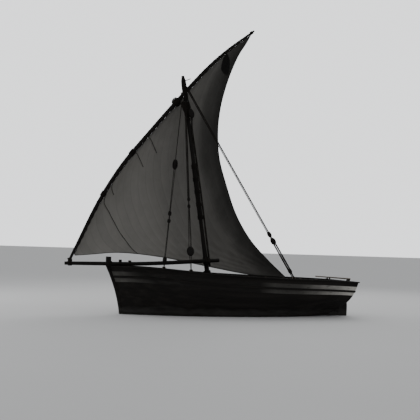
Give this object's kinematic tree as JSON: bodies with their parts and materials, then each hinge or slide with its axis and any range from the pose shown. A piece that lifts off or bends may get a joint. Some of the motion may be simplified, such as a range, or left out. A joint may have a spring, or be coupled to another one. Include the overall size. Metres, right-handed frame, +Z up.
{
  "type": "lateen-rigged sailing dhow",
  "caption": "Open planked sailing dhow with a transom stern, raked mast, bowsprit, hung rudder with tiller and one large lateen sail on a long curved yard.",
  "frame": {"origin": "amidships on the centre line, at the waterline the boat floats on", "axes": "+X towards the bow, +Y to port, +Z up"},
  "size_m": [10.133, 2.9839, 10.7054],
  "materials": {
    "hull": "oiled, near black, weathered",
    "pale": "worn off-white paint",
    "deck": "bare weathered boards",
    "spar": "dark oiled poles",
    "sail": "weathered cotton canvas",
    "rope": "tarred coir rope",
    "iron": "forged and rusty"
  },
  "bodies": {
    "hull": {"keel": "hull", "stem": "hull", "sternpost": "hull", "deadwood": "hull", "transom": "hull", "transom-cap": "hull", "bottom-planking-port": "hull", "bottom-planking-starboard": "hull", "side-planking-aft-port": "hull", "side-planking-fore-port": "hull", "side-planking-aft-starboard": "hull", "side-planking-fore-starboard": "hull", "lower-pale-strake-port": "pale", "lower-pale-strake-starboard": "pale", "rub-rail-port": "hull", "rub-rail-starboard": "hull", "upper-pale-strake-port": "pale", "upper-pale-strake-starboard": "pale", "sheer-strake-port": "hull", "sheer-strake-starboard": "hull", "cap-rail-port": "hull", "cap-rail-starboard": "hull", "frames-aft-port": "deck", "frames-middle-port": "deck", "frames-fore-port": "deck", "frames-aft-starboard": "deck", "frames-middle-starboard": "deck", "frames-fore-starboard": "deck", "keelson": "deck", "mast-step": "deck", "floorboards": "deck", "aft-deck": "deck", "fore-deck": "deck", "aft-deck-beam": "deck", "fore-deck-beam": "deck", "mast-thwart": "deck", "fore-thwart": "deck", "bow-post-1": "spar", "bow-post-2": "spar", "mast": "spar", "bowsprit": "spar", "mast-lashing": "rope", "bow-lashing": "rope", "tack-lashing": "rope", "yard-sling": "rope", "shroud-fore": "rope", "shroud-aft": "rope", "halyard-tackle": "rope", "gudgeon-lower": "iron", "gudgeon-upper": "iron"},
    "rudder": {"rudder-blade": "hull", "pintle-lower": "iron", "pintle-upper": "iron", "tiller": "spar"},
    "yard": {"lower-yard": "spar", "upper-yard": "spar", "yard-lashing-heel": "rope", "yard-lashing-joint": "rope", "yard-lashing-sling": "rope", "sail": "sail"}
  },
  "joints": [
    {"name": "rudder_turn", "type": "hinge", "parent": "hull", "child": "rudder", "pos_m": [-3.94212, 0, 0], "axis": [-0.2588, 0, 0.9659], "range_deg": [-35, 35]},
    {"name": "sail_swing", "type": "hinge", "parent": "hull", "child": "yard", "pos_m": [5.553, -0.005, 1.728], "axis": [-0.5399, -0.0238, 0.8414], "range_deg": [0, 35]}
  ]
}
